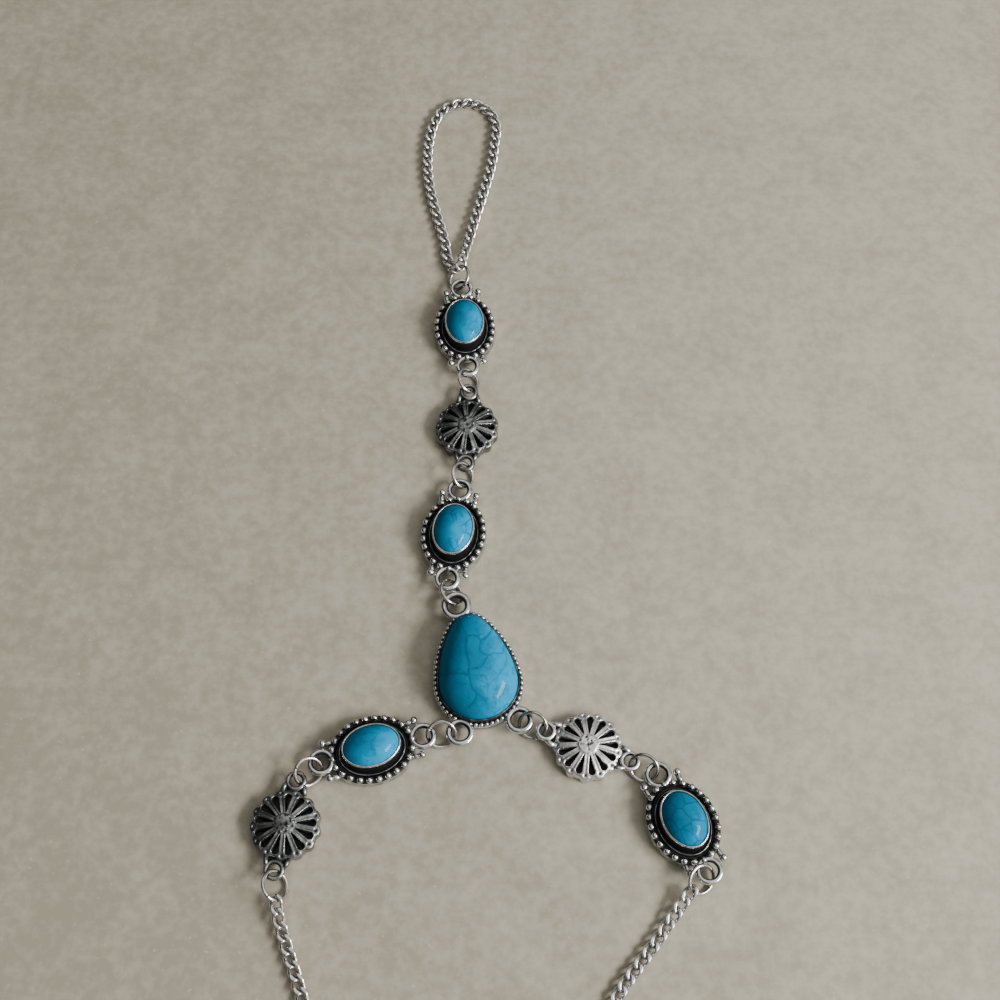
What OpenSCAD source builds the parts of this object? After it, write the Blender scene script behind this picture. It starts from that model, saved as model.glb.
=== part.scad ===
// Hand chain bracelet of antiqued silver: a finger loop of curb chain, a strand of
// two oval turquoise settings and a daisy, a pear centrepiece, and a two-armed wrist chain.
// It lies flat on the XY plane. Y runs from the wrist clasp to the finger loop.
// The origin is the middle of the pear setting's round end, on its flat back.

/* [Stones] */
// Length of each oval stone
oval_stone_length = 6.9; // [6.6:0.1:7.2]
// Width of each oval stone
oval_stone_width = 5.0; // [4.8:0.1:5.3]
// Height of each oval stone above its rim
oval_dome_height = 1.3; // [0.9:0.1:1.8]
// Radius of the pear stone's round end
pear_stone_radius = 5.0; // [4.8:0.05:5.2]
// Radius of the pear stone's tip
pear_tip_radius = 2.4; // [2.2:0.05:2.6]
// Distance from the round end's centre to the tip's centre
pear_stone_reach = 6.7; // [6.3:0.1:7.2]
// Height of the pear stone above its rim
pear_dome_height = 3.2; // [2.4:0.1:3.8]

/* [Settings] */
// Wall of the rim that holds each stone
rim_wall = 0.24; // [0.2:0.02:0.32]
// Height of the oval settings' stone rims
oval_rim_height = 3.3; // [2.8:0.1:3.6]
// Height of the pear setting's stone rim
pear_rim_height = 2.4; // [2.2:0.1:2.9]
// Beads around each oval setting
oval_bead_count = 24; // [22:1:26]
// Diameter of the beads on the oval settings
oval_bead_size = 0.9; // [0.8:0.02:1]
// Diameter of the beads around the pear setting
pear_bead_size = 0.66; // [0.56:0.02:0.7]

/* [Daisies] */
// Width of each daisy over its scallops
daisy_width = 8.75; // [8.2:0.05:9.2]
// Ribs on each daisy
daisy_ribs = 13; // [11:1:15]
// Width of each rib
rib_width = 0.68; // [0.56:0.02:0.76]
// Rise of the dome from edge to middle
daisy_rise = 0.9; // [0.6:0.1:1.2]

/* [Rings] */
// Outer diameter of the jump rings
ring_diameter = 3.98; // [3.8:0.02:4.2]
// Wire of the jump rings
ring_wire = 0.48; // [0.42:0.02:0.5]
// Lean of the jump rings from level
ring_lean = 42; // [38:1:46]
// Wire of the soldered eyes on the settings
eye_wire = 0.66; // [0.58:0.02:0.68]

/* [Chain] */
// Wire of the chain links
chain_wire = 0.36; // [0.33:0.01:0.38]
// Width of the chain
chain_width = 1.58; // [1.52:0.02:1.66]
// Distance from one link to the next
link_pitch = 1.58; // [1.54:0.02:1.64]

/* [Clasp] */
// Diameter of the clasp's round loop
clasp_diameter = 5.6; // [5.4:0.1:6.2]
// Wire of the clasp's round loop
clasp_wire = 1.0; // [0.9:0.05:1.1]

/* [Hidden] */
// Clearances
floor_gap = 0.03;
stone_gap = 0.03;
bead_gap = 0.03;
link_gap = 0.12;
hook_gap = 0.15;
eye_play = 0.12;

// Jump rings and eyes
ring_radius = (ring_diameter - ring_wire) / 2;
eye_height = ring_radius * sin(ring_lean) + ring_wire / 2 + floor_gap;
oval_eye_radius = 1.35;
tip_eye_radius = 1.5;
tip_eye_wire = eye_wire + 0.14;
daisy_eye_radius = 1.02;
daisy_eye_wire = eye_wire - 0.12;
frame_height = eye_height + 0.05;

// Oval settings: half sizes across and along
oval_stone = [oval_stone_width, oval_stone_length] / 2;
oval_cup = oval_stone + [1, 1] * stone_gap;
oval_rim = oval_cup + [1, 1] * rim_wall;
oval_beads = oval_rim + [1.16, 1.36];
oval_frame = oval_beads + [1, 1] * (oval_bead_size / 2 - 0.04);
oval_reach = oval_beads[1] + 1.42;
oval_ball_size = 0.98;
oval_stem = 0.62;
oval_balls = [oval_beads[0] - 1.63, oval_beads[1] + 0.77];
recess_depth = 0.45;
ridge_width = 0.2;

// Pear setting
pear_side_radius = 14.55;
pear_lean = 10.2;
pear_bead_grow = stone_gap + rim_wall + 0.18;
pear_edge_grow = pear_bead_grow + pear_bead_size / 2 - 0.05;
// Its three eyes, tip, left and right: heading, distance out from the edge, radius, wire
pear_eyes = [
  [23.9, tip_eye_radius - 0.27, tip_eye_radius, tip_eye_wire],
  [160.6, oval_eye_radius - 0.26, oval_eye_radius, eye_wire],
  [-132.7, oval_eye_radius - 0.02, oval_eye_radius, eye_wire]
];

// Daisies
daisy_radius = daisy_width / 2;
scallop_radius = 0.8;
daisy_reach = daisy_radius + 1.17;
recess_floor = 0.7;
boss_radius = 1.15;

// Chain links: half length, half width and half rise of the wire's middle line
link_half_length = (link_pitch + chain_wire) / 2 + link_gap;
link_half_width = (chain_width - chain_wire) / 2;
link_rise = chain_wire / 2 + link_gap * 1.25;
link_sections = 12;
link_sides = 5;
hook = link_half_length - (chain_wire + ring_wire) / 2 - hook_gap;
chain_height = link_rise + chain_wire / 2 + 0.02;

// The arms, from the pear outwards. A heading is degrees to the left of +Y.
// ring heading, play at the near eye, play at the far eye, kind, piece heading, raised side
OVAL = 0;
DAISY = 1;
finger_arm = [
  [17.8, 0.26, 0.26, OVAL, -6.5, 1],
  [-9.9, 0.56, eye_play, DAISY, -2.0, 1],
  [2.6, eye_play, 0.56, OVAL, 4.4, 1]
];
left_arm = [
  [95.6, 0.58, 0.58, OVAL, 105.0, -1],
  [128.5, 0.14, eye_play, DAISY, 169.5, -1]
];
right_arm = [
  [-113.5, 0.04, 0.04, DAISY, -110.5, 1],
  [-117.1, eye_play, 0.20, OVAL, -154.5, 1]
];

// Rings that end the arms: heading, play at the eye
finger_end = [11.0, 0.25];
left_end = [187.5, 0.10];
right_end = [136.7, -0.30];

// Clasp
clasp_centre = [-1.7, -65.4];
clasp_radius = (clasp_diameter - clasp_wire) / 2;
clasp_tail_radius = 1.15;
clasp_tail_wire = 0.6;
clasp_tail = clasp_centre + [clasp_radius * 2 + 0.15, 0];
clasp_left_end = [57.3, 0.75];
clasp_right_end = [-57.3, 0.15];

// Chain routes, hand chosen: x, y, rise above the lying chain. The ends are carried to the rings.
strand_turn = 20;
finger_route = [
  [-2.95, 63.41, 1.30],
  [-2.57, 65.27, 1.20],
  [-2.07, 67.47, 0.62],
  [-1.57, 69.97, 0.12],
  [-0.82, 73.17, 0.02],
  [0.03, 76.47, 0],
  [0.88, 79.97, 0],
  [1.58, 83.37, 0],
  [1.95, 86.90, 0],
  [2.20, 89.87, 0],
  [1.30, 92.75, 0],
  [-1.13, 94.50, 0],
  [-4.05, 94.45, 0],
  [-6.32, 92.77, 0],
  [-7.52, 90.13, 0],
  [-8.05, 87.17, 0],
  [-8.22, 83.97, 0],
  [-8.07, 80.77, 0],
  [-7.57, 77.57, 0],
  [-6.87, 74.37, 0],
  [-6.07, 71.37, 0],
  [-5.37, 68.57, 0],
  [-4.97, 65.67, 0.08],
  [-3.90, 63.21, 0.50]
];
left_route = [
  [-23.81, -27.06, 0.90],
  [-23.47, -28.93, 0.60],
  [-22.82, -31.03, 0.14],
  [-21.87, -33.63, 0.02],
  [-20.77, -36.53, 0],
  [-19.67, -39.83, 0],
  [-18.47, -43.43, 0],
  [-17.27, -47.23, 0],
  [-15.97, -51.23, 0],
  [-14.27, -55.23, 0],
  [-12.17, -59.03, 0.04],
  [-8.97, -61.73, 0.26],
  [-5.28, -63.11, 0.90]
];
right_route = [
  [25.63, -25.87, 0.90],
  [24.43, -27.33, 0.60],
  [22.93, -29.33, 0.14],
  [21.13, -31.73, 0.02],
  [19.13, -34.23, 0],
  [16.93, -37.03, 0],
  [15.13, -40.13, 0],
  [13.93, -43.63, 0],
  [13.43, -47.43, 0],
  [13.43, -51.33, 0],
  [13.13, -55.13, 0],
  [11.83, -58.43, 0.04],
  [9.23, -61.53, 0.30],
  [6.00, -63.46, 0.90]
];

// Colours
SILVER = [0.74, 0.73, 0.70];
TURQUOISE = [0.05, 0.55, 0.62];

// A point at a distance from another, on a heading
function step(from, heading, distance) = from + distance * [-sin(heading), cos(heading)];

// The pear's three eyes: 0 at the tip, 1 at the left, 2 at the right
function pear_eye(i) =
  i == 0
    ? step(step([0, 0], pear_lean, pear_stone_reach), pear_eyes[i][0],
        pear_tip_radius + pear_edge_grow + pear_eyes[i][1])
    : step([0, 0], pear_eyes[i][0],
        pear_stone_radius + pear_edge_grow + pear_eyes[i][1]);

// Eyes and middles of the pieces on an arm
function reach(kind) = kind == OVAL ? oval_reach : daisy_reach;
function near_eye(arm, start, i) =
  step(i == 0 ? start : far_eye(arm, start, i - 1), arm[i][0],
    2 * ring_radius + arm[i][1] + arm[i][2]);
function far_eye(arm, start, i) =
  step(near_eye(arm, start, i), arm[i][4], 2 * reach(arm[i][3]));
function middle(arm, start, i) =
  step(near_eye(arm, start, i), arm[i][4], reach(arm[i][3]));
function ring_middle(arm, start, i) =
  step(i == 0 ? start : far_eye(arm, start, i - 1), arm[i][0], ring_radius + arm[i][1]);
function end_middle(eye, end) = step(eye, end[0], ring_radius + end[1]);

finger_end_eye = far_eye(finger_arm, pear_eye(0), 2);
left_end_eye = far_eye(left_arm, pear_eye(1), 1);
right_end_eye = far_eye(right_arm, pear_eye(2), 1);

// The point on an end ring's wire where a chain hooks on, turned round the ring
function hook_point(eye, end, turn) =
  let (
    m = end_middle(eye, end),
    h = end[0],
    along = ring_radius * cos(turn),
    aside = ring_radius * sin(turn)
  )
  [
    m[0] - along * sin(h) - aside * cos(ring_lean) * cos(h),
    m[1] + along * cos(h) - aside * cos(ring_lean) * sin(h),
    eye_height - aside * sin(ring_lean)
  ];

// A route whose ends are carried to two given points
function carried(route, start, end) =
  let (n = len(route) - 1)
  [for (i = [0 : n])
    let (
      t = i / n,
      lying = [0, 0, chain_height],
      first = start - route[0] - lying,
      last = end - route[n] - lying
    )
    route[i] + lying + max(1 - i / 3, 0) * [0, 0, first[2]] + max(1 - (n - i) / 3, 0) * [0, 0, last[2]]
      + (1 - t) * [first[0], first[1], 0] + t * [last[0], last[1], 0]];

// A smooth curve through a list of points
function curve_point(a, b, c, d, t) =
  0.5 * (2 * b + (c - a) * t + (2 * a - 5 * b + 4 * c - d) * t * t
    + (3 * b - a - 3 * c + d) * t * t * t);
function curve(p, per = 16) =
  let (n = len(p) - 1)
  concat(
    [for (i = [0 : n - 1], j = [0 : per - 1])
      curve_point(
        i > 0 ? p[i - 1] : 2 * p[0] - p[1], p[i], p[i + 1],
        i + 2 <= n ? p[i + 2] : 2 * p[n] - p[n - 1], j / per)],
    [p[n]]);

// Length run along a list of points, and the point at a given length
function running(p) =
  [for (i = 0, s = 0; i < len(p); s = s + (i < len(p) - 1 ? norm(p[i + 1] - p[i]) : 0), i = i + 1) s];
function keyed(p, s, k) = [for (i = [0 : len(p) - 1]) [s[i], p[i][k]]];
function unit(v) = v / norm(v);

// Length round a closed outline
function outline_length(p) =
  let (s = running(concat(p, [p[0]])))
  s[len(s) - 1];

// Places for a number of beads at even spacing round a closed outline
function spaced(outline, count) =
  let (
    p = concat(outline, [outline[0]]),
    s = running(p),
    x = keyed(p, s, 0),
    y = keyed(p, s, 1)
  )
  [for (i = [0 : count - 1])
    let (t = s[len(s) - 1] * i / count)
    [lookup(t, x), lookup(t, y)]];

// Outlines
function ellipse(half, n = 120) =
  [for (i = [0 : n - 1]) [half[0] * cos(360 * i / n), half[1] * sin(360 * i / n)]];
function arc(centre, r, from, to, n) =
  [for (i = [0 : n - 1])
    let (a = from + (to - from) * i / n)
    centre + r * [cos(a), sin(a)]];
function pear(grow, fine = 1) =
  let (
    r1 = pear_stone_radius,
    r2 = pear_tip_radius,
    rs = pear_side_radius,
    l = pear_stone_reach,
    k = (pow(rs - r1, 2) - pow(rs - r2, 2) + l * l) / (2 * l),
    m = sqrt(pow(rs - r1, 2) - k * k),
    a = atan2(-k, m),
    b = atan2(l - k, m)
  )
  concat(
    arc([-m, k], rs + grow, a, b, 8 * fine),
    arc([0, l], r2 + grow, b, 180 - b, 14 * fine),
    arc([m, k], rs + grow, 180 - b, 180 - a, 8 * fine),
    arc([0, 0], r1 + grow, 180 - a, 360 + a, 30 * fine));

// Plain solids
module oval_block(half, height, taper = 0) {
  scale([half[0] / half[1], 1, 1])
    cylinder(h = height, r1 = half[1], r2 = half[1] - taper, $fn = 96);
}

module torus(radius, wire) {
  rotate_extrude($fn = 64)
    translate([radius, 0])
      circle(d = wire, $fn = 32);
}

module ball(size) {
  sphere(d = size, $fn = 32);
}

// One oval setting, lying along Y
module oval_setting_shape() {
  color(SILVER)
  difference() {
    union() {
      oval_block(oval_frame, frame_height);
      oval_block(oval_rim + [0.12, 0.12], oval_rim_height, 0.12);
      for (p = spaced(ellipse(oval_beads), oval_bead_count)) {
        translate([p[0], p[1], frame_height + 0.1])
          ball(oval_bead_size);
      }
      for (side = [-1, 1]) {
        translate([0, side * oval_reach, eye_height])
          torus(oval_eye_radius, eye_wire);
        for (hand = [-1, 1]) {
          translate([hand * oval_balls[0], side * oval_balls[1], frame_height])
            ball(oval_ball_size);
          translate([hand * (oval_balls[0] - 0.04), side * (oval_balls[1] - 0.15), frame_height - 0.36])
            rotate([side * 90, 0, 0])
              cylinder(h = oval_ball_size / 2 + 0.9, d = oval_stem, $fn = 32);
        }
      }
    }
    difference() {
      translate([0, 0, frame_height - recess_depth])
        oval_block(oval_beads - [1, 1] * 0.34, 4);
      oval_block(oval_rim + [0.12, 0.12], oval_rim_height, 0.12);
      difference() {
        oval_block(oval_rim + [0.5, 0.5], frame_height - 0.05);
        translate([0, 0, -1])
          oval_block(oval_rim + [1, 1] * (0.5 - ridge_width), 4);
      }
    }
    translate([0, 0, frame_height])
      oval_block(oval_cup, 4);
  }
}

module oval_stone_shape() {
  color(TURQUOISE)
  intersection() {
    translate([0, 0, frame_height + stone_gap])
      oval_block(oval_stone, 6);
    translate([0, 0, oval_rim_height - 0.9])
      scale([oval_stone[0] * 1.07, oval_stone[1] * 1.07, oval_dome_height + 0.9])
        sphere(r = 1, $fn = 72);
  }
}

// The pear setting, with its tip towards its own +Y
module pear_setting_shape() {
  bead_line = pear(pear_bead_grow, 2);
  color(SILVER)
  difference() {
    union() {
      rotate([0, 0, pear_lean]) {
        linear_extrude(frame_height)
          polygon(pear(pear_edge_grow));
        linear_extrude(pear_rim_height)
          polygon(pear(stone_gap + rim_wall));
        for (p = spaced(bead_line, round(outline_length(bead_line) / (pear_bead_size + bead_gap)))) {
          translate([p[0], p[1], frame_height])
            ball(pear_bead_size);
        }
      }
      for (i = [0 : 2]) {
        translate(concat(pear_eye(i), eye_height))
          torus(pear_eyes[i][2], pear_eyes[i][3]);
      }
    }
    translate([0, 0, frame_height])
      rotate([0, 0, pear_lean])
        linear_extrude(4)
          polygon(pear(stone_gap));
  }
}

// Rings of points that shrink towards the top, closed by one point
module dome(outline, centre, low, girdle, top, levels) {
  n = len(outline);
  sweep = 90 / levels;
  rows = concat(
    [[1, low]],
    [for (j = [0 : levels - 1])
      [pow(cos(sweep * j), 0.86), girdle + (top - girdle) * sin(sweep * j)]]);
  m = len(rows);
  points = concat(
    [for (row = rows, p = outline)
      [centre[0] + (p[0] - centre[0]) * row[0], centre[1] + (p[1] - centre[1]) * row[0], row[1]]],
    [[centre[0], centre[1], top]]);
  sides = [for (j = [0 : m - 2], i = [0 : n - 1])
    let (a = j * n + i, b = j * n + (i + 1) % n)
    each [[a, a + n, b + n], [a, b + n, b]]];
  cap = [for (i = [0 : n - 1]) [(m - 1) * n + i, m * n, (m - 1) * n + (i + 1) % n]];
  base = [[for (i = [0 : n - 1]) i]];
  polyhedron(points = points, faces = concat(sides, cap, base), convexity = 4);
}

module pear_stone_shape() {
  color(TURQUOISE)
  rotate([0, 0, pear_lean])
    dome(pear(0), [0, pear_stone_reach * 0.3], frame_height + stone_gap,
      pear_rim_height - 0.25, pear_rim_height + pear_dome_height, 8);
}

// One daisy, lying along Y: ribs between black recesses, a scalloped edge and two eyes
module recess() {
  far = daisy_radius - 1.02;
  half = far * sin(180 / daisy_ribs) - rib_width / 2;
  near = boss_radius + 0.25;
  polygon(concat(
    [[near, -0.04]],
    arc([far, 0], half, -90, 90, 8),
    [[far, half]],
    [[near, 0.04]]));
}

module daisy_shape() {
  crown = frame_height + daisy_rise;
  bowl = (daisy_radius * daisy_radius + daisy_rise * daisy_rise) / (2 * daisy_rise);
  color(SILVER)
  difference() {
    union() {
      intersection() {
        union() {
          cylinder(h = 6, r = daisy_radius - 0.28, $fn = 96);
          for (i = [0 : daisy_ribs - 1]) {
            rotate([0, 0, 360 * (i + 0.5) / daisy_ribs])
              translate([daisy_radius - scallop_radius, 0, 0])
                cylinder(h = 6, r = scallop_radius, $fn = 32);
          }
        }
        translate([0, 0, crown - bowl])
          sphere(r = bowl, $fn = 160);
      }
      translate([0, 0, crown - 0.3])
        cylinder(h = 0.42, r1 = boss_radius, r2 = boss_radius - 0.25, $fn = 32);
      for (side = [-1, 1]) {
        translate([0, side * daisy_reach, eye_height])
          torus(daisy_eye_radius, daisy_eye_wire);
        scale([1, side, 1])
          translate([0, 0, eye_height - 0.33])
            linear_extrude(0.62)
              polygon([
                [-1.5, daisy_radius - 0.5], [1.5, daisy_radius - 0.5],
                [1.12, daisy_reach - 0.5], [-1.12, daisy_reach - 0.5]]);
      }
    }
    for (i = [0 : daisy_ribs - 1]) {
      rotate([0, 0, 360 * i / daisy_ribs])
        translate([0, 0, recess_floor])
          linear_extrude(6)
            recess();
    }
    for (side = [-1, 1]) {
      translate([0, side * daisy_reach, -1])
        cylinder(h = 6, r = daisy_eye_radius - daisy_eye_wire / 2 + 0.02, $fn = 48);
    }
  }
}

// A jump ring through two eyes, leaning about the line between them
module ring_at(centre, heading, raised) {
  color(SILVER)
  translate(concat(centre, eye_height))
    rotate([0, 0, heading])
      rotate([0, raised * ring_lean, 0])
        torus(ring_radius, ring_wire);
}

module arm_ring(arm, start, i) {
  ring_at(ring_middle(arm, start, i), arm[i][0], arm[i][5]);
}

module end_ring(eye, end) {
  ring_at(end_middle(eye, end), end[0], -1);
}

// Places a shape drawn along Y at a piece of an arm
module on_arm(arm, start, i) {
  translate(middle(arm, start, i))
    rotate([0, 0, arm[i][4]])
      children();
}

// One curb link: a twisted loop of wire about a middle, on three axes
module link(centre, along, aside, up) {
  a = link_half_length;
  b = link_half_width;
  c = link_rise;
  r = chain_wire / 2;
  m = link_sections;
  k = link_sides;
  points = [for (i = [0 : m - 1])
    let (
      t = 360 * (i + 0.5) / m,
      p = a * cos(t) * along + b * sin(t) * aside - c * sin(2 * t) * up,
      tangent = unit(-a * sin(t) * along + b * cos(t) * aside - 2 * c * cos(2 * t) * up),
      out = unit(p - tangent * (p * tangent)),
      over = cross(tangent, out)
    )
    for (j = [0 : k - 1])
      centre + p + r * (cos(360 * j / k) * out + sin(360 * j / k) * over)];
  faces = [for (i = [0 : m - 1], j = [0 : k - 1])
    let (
      i2 = (i + 1) % m,
      j2 = (j + 1) % k,
      p = i * k + j,
      q = i2 * k + j,
      s = i2 * k + j2,
      t = i * k + j2
    )
    each [[p, t, s], [p, s, q]]];
  polyhedron(points = points, faces = faces, convexity = 6);
}

module chain(route) {
  p = curve(route);
  s = running(p);
  whole = s[len(s) - 1];
  x = keyed(p, s, 0);
  y = keyed(p, s, 1);
  z = keyed(p, s, 2);
  count = floor((whole - 2 * hook) / link_pitch) + 1;
  gap = (whole - 2 * hook) / (count - 1);
  color(SILVER)
  for (i = [0 : count - 1]) {
    t = hook + i * gap;
    t0 = max(t - 0.4, 0);
    t1 = min(t + 0.4, whole);
    here = [lookup(t, x), lookup(t, y), lookup(t, z)];
    along = unit([
      lookup(t1, x) - lookup(t0, x),
      lookup(t1, y) - lookup(t0, y),
      lookup(t1, z) - lookup(t0, z)]);
    aside = unit(cross([0, 0, 1], along));
    link(here, along, aside, cross(along, aside));
  }
}

module finger_chain() {
  chain(carried(finger_route,
    hook_point(finger_end_eye, finger_end, -strand_turn),
    hook_point(finger_end_eye, finger_end, strand_turn)));
}

module wrist_chain_left() {
  chain(carried(left_route,
    hook_point(left_end_eye, left_end, 0),
    hook_point(clasp_centre, clasp_left_end, 0)));
}

module wrist_chain_right() {
  chain(carried(right_route,
    hook_point(right_end_eye, right_end, 0),
    hook_point(clasp_tail, clasp_right_end, 0)));
}

// A plain closed clasp: a round loop, a ball and a tail eye
module clasp() {
  color(SILVER)
  union() {
    translate(concat(clasp_centre, eye_height))
      torus(clasp_radius, clasp_wire);
    translate(concat(clasp_centre + [clasp_radius, 0], eye_height))
      sphere(r = eye_height, $fn = 48);
    translate(concat(clasp_tail, eye_height))
      torus(clasp_tail_radius, clasp_tail_wire);
  }
}

tip_eye = pear_eye(0);
left_eye = pear_eye(1);
right_eye = pear_eye(2);

pear_setting_shape();  // pear_setting
pear_stone_shape();  // pear_stone
on_arm(finger_arm, tip_eye, 2) oval_setting_shape();  // oval_setting_1
on_arm(finger_arm, tip_eye, 2) oval_stone_shape();  // oval_stone_1
on_arm(finger_arm, tip_eye, 0) oval_setting_shape();  // oval_setting_2
on_arm(finger_arm, tip_eye, 0) oval_stone_shape();  // oval_stone_2
on_arm(left_arm, left_eye, 0) oval_setting_shape();  // oval_setting_3
on_arm(left_arm, left_eye, 0) oval_stone_shape();  // oval_stone_3
on_arm(right_arm, right_eye, 1) oval_setting_shape();  // oval_setting_4
on_arm(right_arm, right_eye, 1) oval_stone_shape();  // oval_stone_4
on_arm(finger_arm, tip_eye, 1) daisy_shape();  // daisy_1
on_arm(left_arm, left_eye, 1) daisy_shape();  // daisy_2
on_arm(right_arm, right_eye, 0) daisy_shape();  // daisy_3
end_ring(finger_end_eye, finger_end);  // jump_ring_1
arm_ring(finger_arm, tip_eye, 2);  // jump_ring_2
arm_ring(finger_arm, tip_eye, 1);  // jump_ring_3
arm_ring(finger_arm, tip_eye, 0);  // jump_ring_4
arm_ring(left_arm, left_eye, 0);  // jump_ring_5
arm_ring(left_arm, left_eye, 1);  // jump_ring_6
end_ring(left_end_eye, left_end);  // jump_ring_7
arm_ring(right_arm, right_eye, 0);  // jump_ring_8
arm_ring(right_arm, right_eye, 1);  // jump_ring_9
end_ring(right_end_eye, right_end);  // jump_ring_10
end_ring(clasp_centre, clasp_left_end);  // jump_ring_11
end_ring(clasp_tail, clasp_right_end);  // jump_ring_12
finger_chain();
wrist_chain_left();
wrist_chain_right();
clasp();
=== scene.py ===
"""Looks for the hand chain bracelet: antiqued silver, turquoise stones and curb chain.

Lengths are in millimetres until a mesh is made. Sizes and places repeat part.scad.
"""
import math
import bmesh
import bpy
import numpy as np
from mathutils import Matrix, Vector


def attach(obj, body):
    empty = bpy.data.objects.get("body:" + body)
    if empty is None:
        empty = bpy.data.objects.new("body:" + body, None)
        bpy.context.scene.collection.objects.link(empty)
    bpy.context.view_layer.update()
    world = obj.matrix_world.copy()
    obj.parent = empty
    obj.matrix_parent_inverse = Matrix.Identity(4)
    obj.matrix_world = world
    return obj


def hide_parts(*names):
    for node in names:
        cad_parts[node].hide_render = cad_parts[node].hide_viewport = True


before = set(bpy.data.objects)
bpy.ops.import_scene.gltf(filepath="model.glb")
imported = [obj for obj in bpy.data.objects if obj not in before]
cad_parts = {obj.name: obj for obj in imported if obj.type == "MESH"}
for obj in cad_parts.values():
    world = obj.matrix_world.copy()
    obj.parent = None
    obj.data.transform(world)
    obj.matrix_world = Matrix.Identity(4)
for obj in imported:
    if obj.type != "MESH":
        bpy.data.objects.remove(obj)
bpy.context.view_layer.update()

MM = 0.001
rng = np.random.default_rng(11)
UP = np.array([0.0, 0.0, 1.0])

# Sizes, as in part.scad
FLOOR_GAP, STONE_GAP, BEAD_GAP, LINK_GAP, HOOK_GAP = 0.03, 0.03, 0.03, 0.12, 0.15
RIM_WALL = 0.24
OVAL_STONE = np.array([2.5, 3.45])
OVAL_CUP = OVAL_STONE + STONE_GAP
OVAL_RIM = OVAL_CUP + RIM_WALL
OVAL_BEADS = OVAL_RIM + np.array([1.16, 1.36])
OVAL_BEAD, OVAL_BEAD_COUNT = 0.9, 24
OVAL_FRAME = OVAL_BEADS + OVAL_BEAD / 2 - 0.04
OVAL_REACH = OVAL_BEADS[1] + 1.42
OVAL_BALLS = OVAL_BEADS + np.array([-1.63, 0.77])
OVAL_BALL, OVAL_STEM = 0.98, 0.62
OVAL_RIM_HEIGHT, OVAL_TOP = 3.3, 4.6
RING_RADIUS, RING_WIRE, RING_LEAN = 1.75, 0.48, 42
EYE_HEIGHT = RING_RADIUS * math.sin(math.radians(RING_LEAN)) + RING_WIRE / 2 + FLOOR_GAP
FRAME = EYE_HEIGHT + 0.05
EYE_RADIUS, EYE_WIRE = 1.35, 0.66
DAISY_EYE_RADIUS, DAISY_EYE_WIRE = 1.02, 0.54
PEAR_R1, PEAR_R2, PEAR_SIDE, PEAR_LONG, PEAR_LEAN = 5.0, 2.4, 14.55, 6.7, 10.2
PEAR_BEAD_GROW, PEAR_BEAD = 0.45, 0.66
PEAR_EDGE_GROW = PEAR_BEAD_GROW + PEAR_BEAD / 2 - 0.05
PEAR_RIM_HEIGHT, PEAR_TOP = 2.4, 5.6
DAISY_RADIUS, DAISY_RIBS, RIB_WIDTH, DAISY_RISE = 4.375, 13, 0.68, 0.9
SCALLOP_RADIUS = 0.8
DAISY_REACH = DAISY_RADIUS + 1.17
LINK_WIRE, LINK_HALF_WIDTH, LINK_PITCH = 0.36, 0.61, 1.58
LINK_HALF_LENGTH = (LINK_PITCH + LINK_WIRE) / 2 + LINK_GAP
LINK_RISE = LINK_WIRE / 2 + LINK_GAP * 1.25
CHAIN_HEIGHT = LINK_RISE + LINK_WIRE / 2 + 0.02
HOOK = LINK_HALF_LENGTH - (LINK_WIRE + RING_WIRE) / 2 - HOOK_GAP

# Layout, as in part.scad. A heading is degrees to the left of +Y.
# Arms from the pear outwards: ring heading, play at its near and far eye, kind, piece heading, raised side
OVAL, DAISY = 0, 1
FINGER_ARM = [
    (17.8, 0.26, 0.26, OVAL, -6.5, 1), (-9.9, 0.56, 0.12, DAISY, -2.0, 1), (2.6, 0.12, 0.56, OVAL, 4.4, 1)]
LEFT_ARM = [(95.6, 0.58, 0.58, OVAL, 105.0, -1), (128.5, 0.14, 0.12, DAISY, 169.5, -1)]
RIGHT_ARM = [(-113.5, 0.04, 0.04, DAISY, -110.5, 1), (-117.1, 0.12, 0.20, OVAL, -154.5, 1)]
# The pear's eyes, tip, left and right: heading, distance out from the edge, radius, wire
PEAR_EYES = [
    (23.9, 1.23, 1.5, 0.8), (160.6, 1.09, EYE_RADIUS, EYE_WIRE), (-132.7, 1.33, EYE_RADIUS, EYE_WIRE)]
CLASP = np.array([-1.7, -65.4])
CLASP_RADIUS, CLASP_WIRE, TAIL_RADIUS, TAIL_WIRE = 2.3, 1.0, 1.15, 0.6
TAIL = CLASP + [2 * CLASP_RADIUS + 0.15, 0]
# Degrees round the ring from its top to each end of the finger loop
STRAND_TURN = 20

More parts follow.
